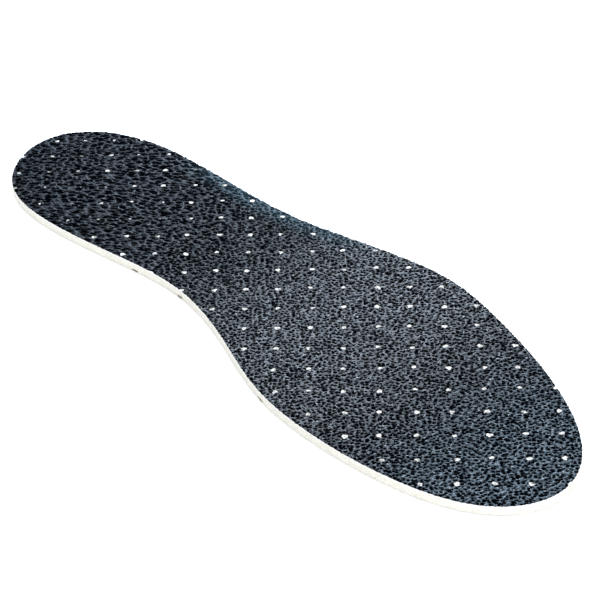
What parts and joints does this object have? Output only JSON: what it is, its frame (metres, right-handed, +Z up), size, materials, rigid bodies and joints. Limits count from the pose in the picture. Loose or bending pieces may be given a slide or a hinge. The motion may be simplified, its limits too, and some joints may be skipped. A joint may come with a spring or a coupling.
{
  "type": "cushioned insole",
  "caption": "Foot-shaped flat shoe insole for the left foot: a perforated dark grained cover on a backing cloth, bonded to a thin latex foam slab.",
  "frame": {"origin": "middle of the insole's length and width, on the underside that rests in the shoe", "axes": "+X from the heel to the toe, +Y to the little-toe side, +Z up to the side that the foot rests on"},
  "size_m": [0.269, 0.0872, 0.004],
  "materials": {
    "grained_cover": "dark blue-black synthetic leather with a deep crinkled grain, satin ridges and matt pits",
    "backing_cloth": "white plain-woven cotton-polyester cloth, matt",
    "adhesive": "thin cream hot-melt film, slightly glossy",
    "latex_foam": "ivory open-cell latex foam, matt and finely porous"
  },
  "bodies": {
    "root": {"foam_slab": "latex_foam", "adhesive_film": "adhesive", "backing_cloth": "backing_cloth", "grain_cover": "grained_cover"}
  },
  "joints": []
}
